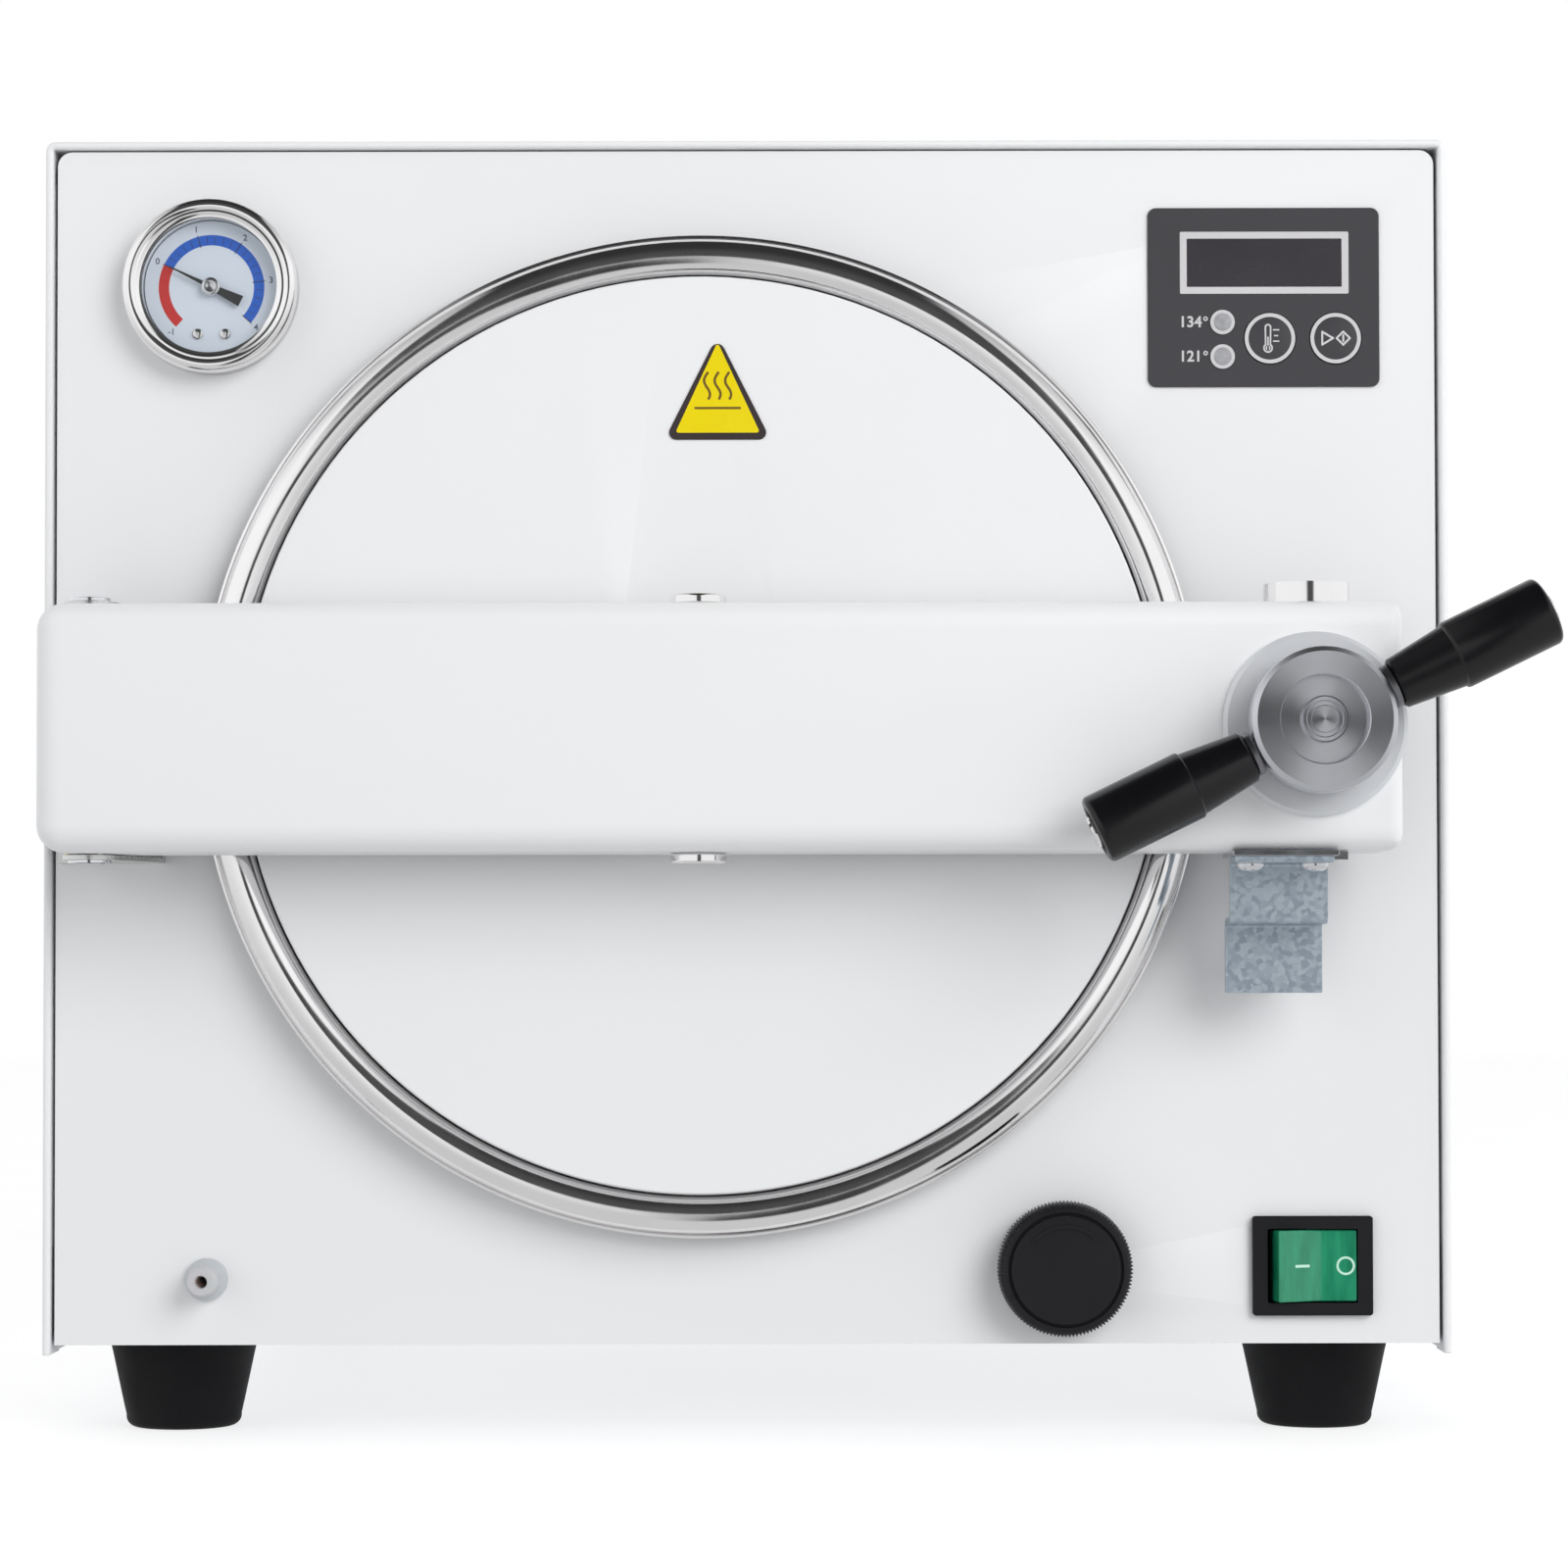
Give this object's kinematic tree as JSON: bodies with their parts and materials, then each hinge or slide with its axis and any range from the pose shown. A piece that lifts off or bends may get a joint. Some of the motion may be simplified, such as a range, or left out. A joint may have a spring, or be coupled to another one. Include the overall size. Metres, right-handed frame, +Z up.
{
  "type": "benchtop autoclave",
  "caption": "Front-loading benchtop steam autoclave: box cabinet, round door on a swinging arm, T-handle screw lock, pressure gauge, keypad, exhaust knob, rocker switch and feet.",
  "frame": {"origin": "middle of the overall footprint, on the bench surface under the feet", "axes": "+Z up, +Y from the front panel to the rear, +X to the right seen from the front"},
  "size_m": [0.4536, 0.546, 0.397],
  "materials": {
    "white_enamel": "semi-gloss powder coat",
    "galvanised_sheet": "zinc spangle",
    "zinc_screws": "bright zinc plated",
    "black_rubber": "moulded matte",
    "stainless": "brushed stainless",
    "fibre_blanket": "needled ceramic fibre",
    "copper": "drawn copper tube",
    "chrome": "polished",
    "turned_aluminium": "turned",
    "brass": "machined",
    "gauge_black": "black paint",
    "dial_white": "printed dial",
    "clear_lens": "clear",
    "overlay_film": "matte polyester film",
    "smoked_window": "smoked acrylic",
    "lamp_lens": "diffused",
    "circuit_board": "solder mask",
    "black_plastic": "fine moulded",
    "gloss_black": "polished bakelite",
    "dark_steel": "blackened",
    "green_rocker": "translucent green",
    "pale_nylon": "natural nylon",
    "silicone": "translucent white silicone",
    "label_film": "printed vinyl"
  },
  "bodies": {
    "cabinet": {"base_tray": "galvanised_sheet", "front_panel": "white_enamel", "rear_panel": "white_enamel", "hood": "white_enamel", "case_screws": "zinc_screws", "feet": "black_rubber", "foot_screws": "zinc_screws", "chamber": "stainless", "insulation_jacket": "fibre_blanket", "chamber_cradles": "galvanised_sheet", "heater_element": "stainless", "temperature_probe": "stainless", "tray_rack": "stainless", "trays": "stainless", "pipes": "copper", "hinge_bracket": "stainless", "hinge_pin": "chrome", "hinge_clips": "zinc_screws", "catch_block": "stainless", "panel_screws": "zinc_screws", "door_sensor": "stainless", "gauge_case": "gauge_black", "gauge_bezel": "chrome", "gauge_dial": "dial_white", "gauge_lens": "clear_lens", "control_overlay": "overlay_film", "display_window": "smoked_window", "indicator_lamps": "lamp_lens", "control_board": "circuit_board", "power_board": "circuit_board", "valve_body": "brass", "drain_nipple": "pale_nylon", "switch_housing": "black_plastic", "safety_valve": "brass", "power_inlet": "black_plastic"},
    "door_arm": {"door_arm": "white_enamel", "hinge_bushes": "brass", "door_cross_bolt": "chrome", "lock_cross_pin": "chrome", "pin_plate": "chrome", "interlock_bracket": "galvanised_sheet", "bracket_screws": "zinc_screws", "lock_base_disc": "turned_aluminium"},
    "door_disc": {"door_plate": "stainless", "door_cover": "white_enamel", "door_rim": "chrome", "door_gasket": "silicone", "hot_surface_label": "label_film"},
    "lock_washer": {"thrust_washer": "pale_nylon"},
    "lock_handle": {"lock_spindle": "turned_aluminium", "lock_hub": "turned_aluminium", "handle_rods": "dark_steel", "handle_grips": "gloss_black"},
    "needle": {"gauge_needle": "gauge_black"},
    "temperature_key": {"key_temperature": "overlay_film"},
    "start_key": {"key_start": "overlay_film"},
    "exhaust_knob": {"valve_stem": "brass", "valve_knob": "black_plastic"},
    "power_rocker": {"switch_rocker": "green_rocker"},
    "safety_ring": {"safety_valve_ring": "stainless"}
  },
  "joints": [
    {"name": "door_swing", "type": "hinge", "parent": "cabinet", "child": "door_arm", "pos_m": [-0.20465, -0.22148, 0.2136], "axis": [0, 0, -1], "range_deg": [0, 105]},
    {"name": "door_tilt", "type": "hinge", "parent": "door_arm", "child": "door_disc", "pos_m": [-0.02325, -0.22547, 0.2136], "axis": [0, 0, 1], "range_deg": [-0.5, 0.5]},
    {"name": "lock_travel", "type": "slide", "parent": "door_arm", "child": "lock_washer", "axis": [0, 1, 0], "range_m": [0, 0.006]},
    {"name": "lock_turn", "type": "hinge", "parent": "lock_washer", "child": "lock_handle", "pos_m": [0.15755, -0.26327, 0.2136], "axis": [0, 1, 0], "range_deg": [0, 720]},
    {"name": "needle_turn", "type": "hinge", "parent": "cabinet", "child": "needle", "pos_m": [-0.17335, -0.19248, 0.3516], "axis": [0, 1, 0], "range_deg": [-74, 196], "stiffness_Nm_per_rad": 0.0005},
    {"name": "temperature_key_press", "type": "slide", "parent": "cabinet", "child": "temperature_key", "axis": [0, 1, 0], "range_m": [0, 0.0006], "stiffness_N_per_m": 1500},
    {"name": "start_key_press", "type": "slide", "parent": "cabinet", "child": "start_key", "axis": [0, 1, 0], "range_m": [0, 0.0006], "stiffness_N_per_m": 1500},
    {"name": "valve_turn", "type": "hinge", "parent": "cabinet", "child": "exhaust_knob", "pos_m": [0.08695, -0.19547, 0.0514], "axis": [0, -1, 0], "range_deg": [0, 540]},
    {"name": "rocker_tilt", "type": "hinge", "parent": "cabinet", "child": "power_rocker", "pos_m": [0.16295, -0.18448, 0.0517], "axis": [0, 0, -1], "range_deg": [0, 22]},
    {"name": "safety_pull", "type": "slide", "parent": "cabinet", "child": "safety_ring", "axis": [0, 1, 0], "range_m": [0, 0.003], "stiffness_N_per_m": 1500}
  ],
  "couplings": [
    {"joint": "lock_travel", "follows": "lock_turn", "m_per_rad": 0.00047746}
  ]
}
